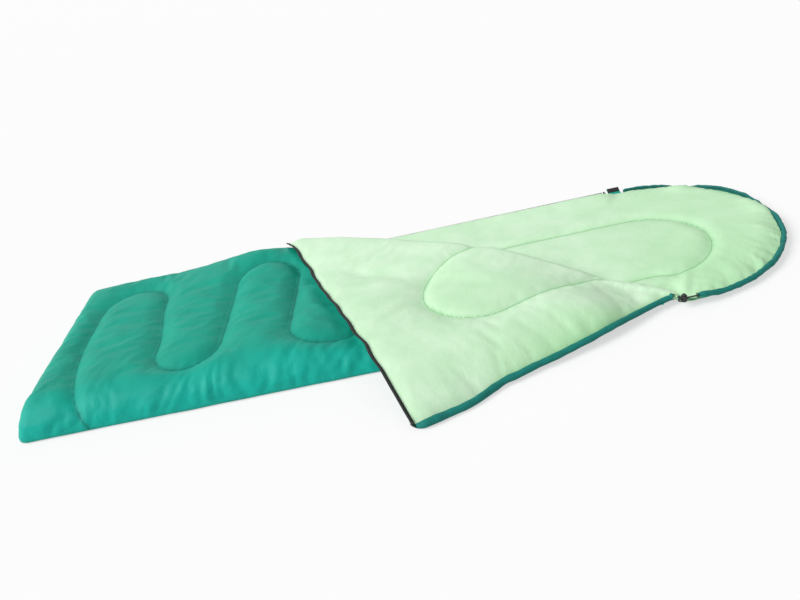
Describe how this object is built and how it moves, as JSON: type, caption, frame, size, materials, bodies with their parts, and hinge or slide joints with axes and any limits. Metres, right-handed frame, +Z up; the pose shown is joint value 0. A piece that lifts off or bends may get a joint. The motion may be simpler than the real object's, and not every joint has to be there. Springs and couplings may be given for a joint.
{
  "type": "sleeping bag",
  "caption": "Quilted rectangular sleeping bag with a round hood, a side zip and its top quilt turned back over the near edge, lying flat.",
  "frame": {"origin": "middle of the bag's length and width, on the ground under the base shell", "axes": "+X from the foot to the hood, +Y to the zipped side, +Z up"},
  "size_m": [2.2, 1.0432, 0.1181],
  "materials": {
    "shell": "woven polyester, slight sheen",
    "lining": "brushed polyester",
    "wadding": "hollow-fibre wadding",
    "tape": "woven tape",
    "coil": "nylon coil",
    "zip_metal": "black enamelled zinc",
    "toggle": "moulded",
    "cord": "braided cord"
  },
  "bodies": {
    "bag": {"base_shell": "shell", "base_batting": "wadding", "base_lining": "lining", "side_panel": "shell", "foot_panel": "shell", "top_lining": "lining", "top_batting": "wadding", "top_shell": "shell", "fold_batting": "wadding", "fold_lining": "lining", "zip_tape_base": "tape", "zip_coil_base": "coil", "zip_stop_base": "zip_metal", "zip_tape_top": "tape", "zip_coil_top": "coil", "zip_bottom_stop": "zip_metal", "hood_casing": "shell", "hood_drawcord": "cord", "cord_eyelet": "zip_metal"},
    "flap": {"flap_shell": "shell", "flap_batting": "wadding", "flap_lining": "lining", "zip_tape_flap": "tape", "zip_coil_flap": "coil"},
    "flap_corner": {"corner_shell": "shell", "corner_batting": "wadding", "corner_lining": "lining", "corner_hem": "shell", "loop_patch": "tape", "zip_tape_corner": "tape", "zip_coil_corner": "coil", "zip_stop_corner": "zip_metal"},
    "zip_slider": {"slider_body": "zip_metal"},
    "zip_pull": {"slider_pull": "toggle"},
    "cord_lock": {"cord_lock_body": "toggle", "cord_lock_spring": "zip_metal"},
    "lock_button": {"cord_lock_button": "toggle"},
    "tab": {"tab_strap": "shell", "tab_hook": "tape"}
  },
  "joints": [
    {"name": "flap_fold", "type": "hinge", "parent": "bag", "child": "flap", "pos_m": [-0.375, 0.375, 0.07], "axis": [-0.8201, 0.5722, 0], "range_deg": [0, 180], "deforming": ["fold_lining", "fold_batting"]},
    {"name": "corner_drape", "type": "hinge", "parent": "flap", "child": "flap_corner", "pos_m": [0.7, -0.375, 0.07], "axis": [-1, 0, 0], "range_deg": [0, 15]},
    {"name": "slider_travel", "type": "slide", "parent": "bag", "child": "zip_slider", "axis": [1, 0, 0], "range_m": [-0.649, 1.052]},
    {"name": "pull_swing", "type": "hinge", "parent": "zip_slider", "child": "zip_pull", "pos_m": [-0.371, 0.3898, 0.034], "axis": [0, 0, -1], "range_deg": [0, 170]},
    {"name": "lock_slide", "type": "slide", "parent": "bag", "child": "cord_lock", "axis": [1, 0, 0], "range_m": [0, 0.022]},
    {"name": "button_press", "type": "slide", "parent": "cord_lock", "child": "lock_button", "axis": [0, 0, -1], "range_m": [0, 0.003], "stiffness_N_per_m": 600, "springref_m": -0.001, "deforming": ["cord_lock_spring"]},
    {"name": "tab_fold", "type": "hinge", "parent": "bag", "child": "tab", "pos_m": [0.726, 0.3753, 0.021], "axis": [1, 0, 0], "range_deg": [0, 150]}
  ],
  "couplings": [
    {"joint": "corner_drape", "follows": "flap_fold", "ratio": 0.083333}
  ]
}
